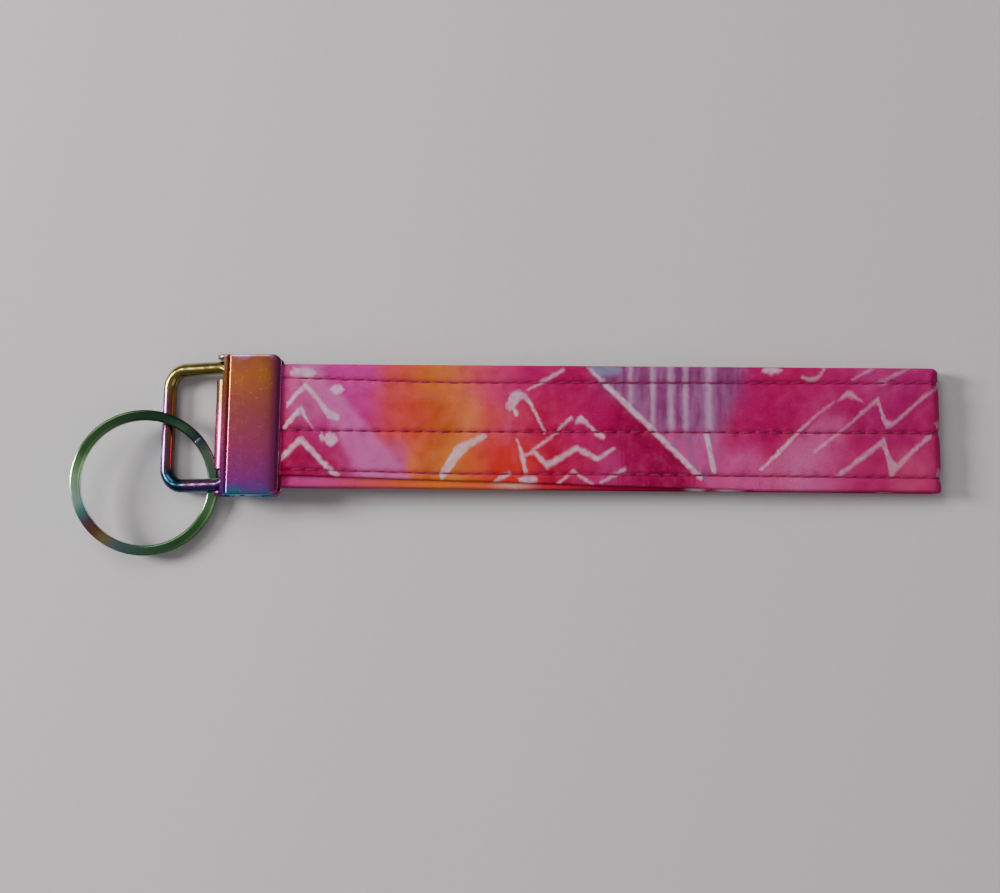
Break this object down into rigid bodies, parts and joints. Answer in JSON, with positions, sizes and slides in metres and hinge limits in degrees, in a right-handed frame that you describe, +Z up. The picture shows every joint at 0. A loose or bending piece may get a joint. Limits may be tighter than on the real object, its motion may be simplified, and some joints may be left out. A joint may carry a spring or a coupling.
{
  "type": "wristlet keychain",
  "caption": "Stitched fabric wrist strap folded into a loop, crimped in an iridescent metal clamp with a swinging wire loop and a split key ring.",
  "frame": {"origin": "on the surface that the object lies on, under the middle of the whole object's bounding box", "axes": "+X along the strap from the clamp to the fold, +Y across the strap away from the split ring, +Z up"},
  "size_m": [0.1651, 0.0384, 0.0078],
  "materials": {
    "clamp_metal": "iridescent heat-tinted plating, orange to magenta to violet, polished",
    "loop_metal": "iridescent heat-tinted plating, gold to mauve to blue, polished",
    "ring_metal": "iridescent heat-tinted plating, mostly green with teal, violet and gold patches, polished",
    "printed_cotton": "plain-weave quilting cotton with a watercolour print, matt",
    "core_webbing": "undyed woven interfacing, matt",
    "topstitch_thread": "dark magenta polyester thread, slight sheen"
  },
  "bodies": {
    "clamp": {"crimp_clamp": "clamp_metal", "cover_upper_tail": "printed_cotton", "core_upper_tail": "core_webbing", "cover_lower_tail": "printed_cotton", "core_lower_tail": "core_webbing"},
    "wire_loop": {"wire_loop": "loop_metal"},
    "split_ring": {"split_ring": "ring_metal"},
    "upper_near": {"cover_upper_near": "printed_cotton", "core_upper_near": "core_webbing", "needle_thread_upper_near": "topstitch_thread", "bobbin_thread_upper_near": "topstitch_thread"},
    "upper_far": {"cover_upper_far": "printed_cotton", "core_upper_far": "core_webbing", "needle_thread_upper_far": "topstitch_thread", "bobbin_thread_upper_far": "topstitch_thread"},
    "lower_far": {"cover_lower_far": "printed_cotton", "core_lower_far": "core_webbing", "needle_thread_lower_far": "topstitch_thread", "bobbin_thread_lower_far": "topstitch_thread"},
    "lower_near": {"cover_lower_near": "printed_cotton", "core_lower_near": "core_webbing", "needle_thread_lower_near": "topstitch_thread", "bobbin_thread_lower_near": "topstitch_thread"}
  },
  "joints": [
    {"name": "loop_pivot", "type": "hinge", "parent": "clamp", "child": "wire_loop", "pos_m": [-0.05214, 0.00572, 0.00525], "axis": [0, 1, 0], "range_deg": [0, 56]},
    {"name": "ring_swing", "type": "hinge", "parent": "wire_loop", "child": "split_ring", "pos_m": [-0.05581, -0.00555, 0.00146], "axis": [0.0406, 0.9966, 0.0715], "range_deg": [0, 70]},
    {"name": "strap_open", "type": "hinge", "parent": "clamp", "child": "upper_near", "pos_m": [-0.04174, 0.00572, 0.00525], "axis": [0, -1, 0], "range_deg": [0, 60]},
    {"name": "upper_bend", "type": "hinge", "parent": "upper_near", "child": "upper_far", "pos_m": [0.02044, 0.00572, 0.00362], "axis": [0, 1, 0], "range_deg": [0, 60]},
    {"name": "fold_open", "type": "hinge", "parent": "upper_far", "child": "lower_far", "pos_m": [0.08262, 0.00572, 0.002], "axis": [0, -1, 0], "range_deg": [0, 60]},
    {"name": "lower_bend", "type": "hinge", "parent": "lower_far", "child": "lower_near", "pos_m": [0.02044, 0.00572, 0.00362], "axis": [0, 1, 0], "range_deg": [0, 60]}
  ],
  "couplings": [
    {"joint": "upper_bend", "follows": "strap_open", "ratio": 1},
    {"joint": "fold_open", "follows": "strap_open", "ratio": 1},
    {"joint": "lower_bend", "follows": "strap_open", "ratio": 1}
  ]
}
